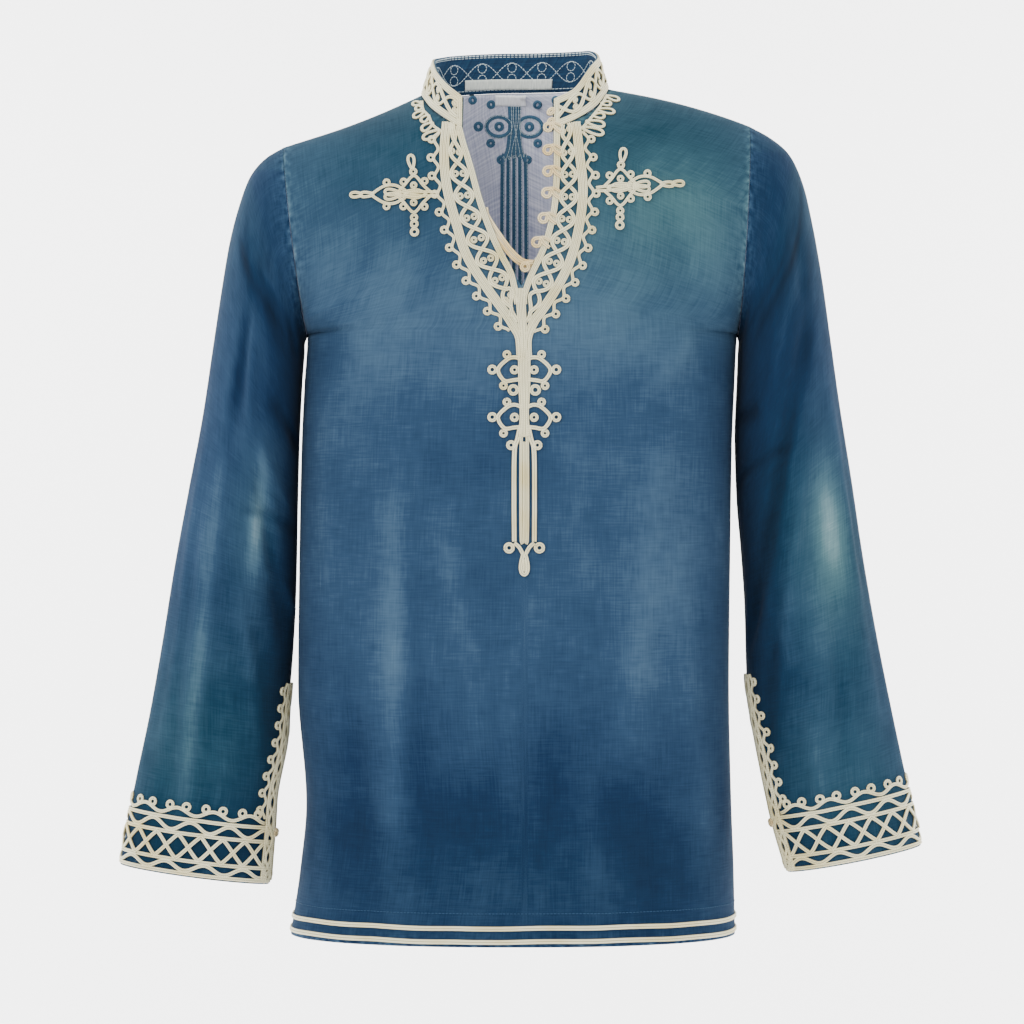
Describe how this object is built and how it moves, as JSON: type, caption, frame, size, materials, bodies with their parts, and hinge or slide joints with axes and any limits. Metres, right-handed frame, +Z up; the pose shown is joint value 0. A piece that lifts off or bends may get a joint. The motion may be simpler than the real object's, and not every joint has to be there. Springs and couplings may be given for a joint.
{
  "type": "embroidered tunic shirt",
  "caption": "Long-sleeved tunic shirt with a stand collar, a V slit at the neck and couched braid ornament, filled out as worn.",
  "frame": {"origin": "where the wearer's neck and shoulders hold it: on the middle plane, mid-way between the neck ends of the two shoulder seams", "axes": "+Z up, the front faces -Y, +X to the wearer's left"},
  "size_m": [0.6851, 0.2251, 0.7532],
  "materials": {
    "washed_cloth": "garment-washed cotton and linen plain weave, faded indigo to teal",
    "braid": "ivory rayon soutache braid, couched",
    "label": "woven label, blank",
    "strip": "beige cotton tape"
  },
  "bodies": {
    "root": {"front": "washed_cloth", "back": "washed_cloth", "sleeve_left": "washed_cloth", "sleeve_right": "washed_cloth", "collar": "washed_cloth", "braid_neck": "braid", "braid_stem": "braid", "braid_chest_left": "braid", "braid_chest_right": "braid", "braid_back": "braid", "braid_collar": "braid", "braid_cuff_left": "braid", "braid_cuff_right": "braid", "hem_braid_front_upper": "braid", "hem_braid_front_lower": "braid", "hem_braid_back_upper": "braid", "hem_braid_back_lower": "braid", "neck_label": "label", "size_tab": "label", "placket_strip": "strip"}
  },
  "joints": []
}
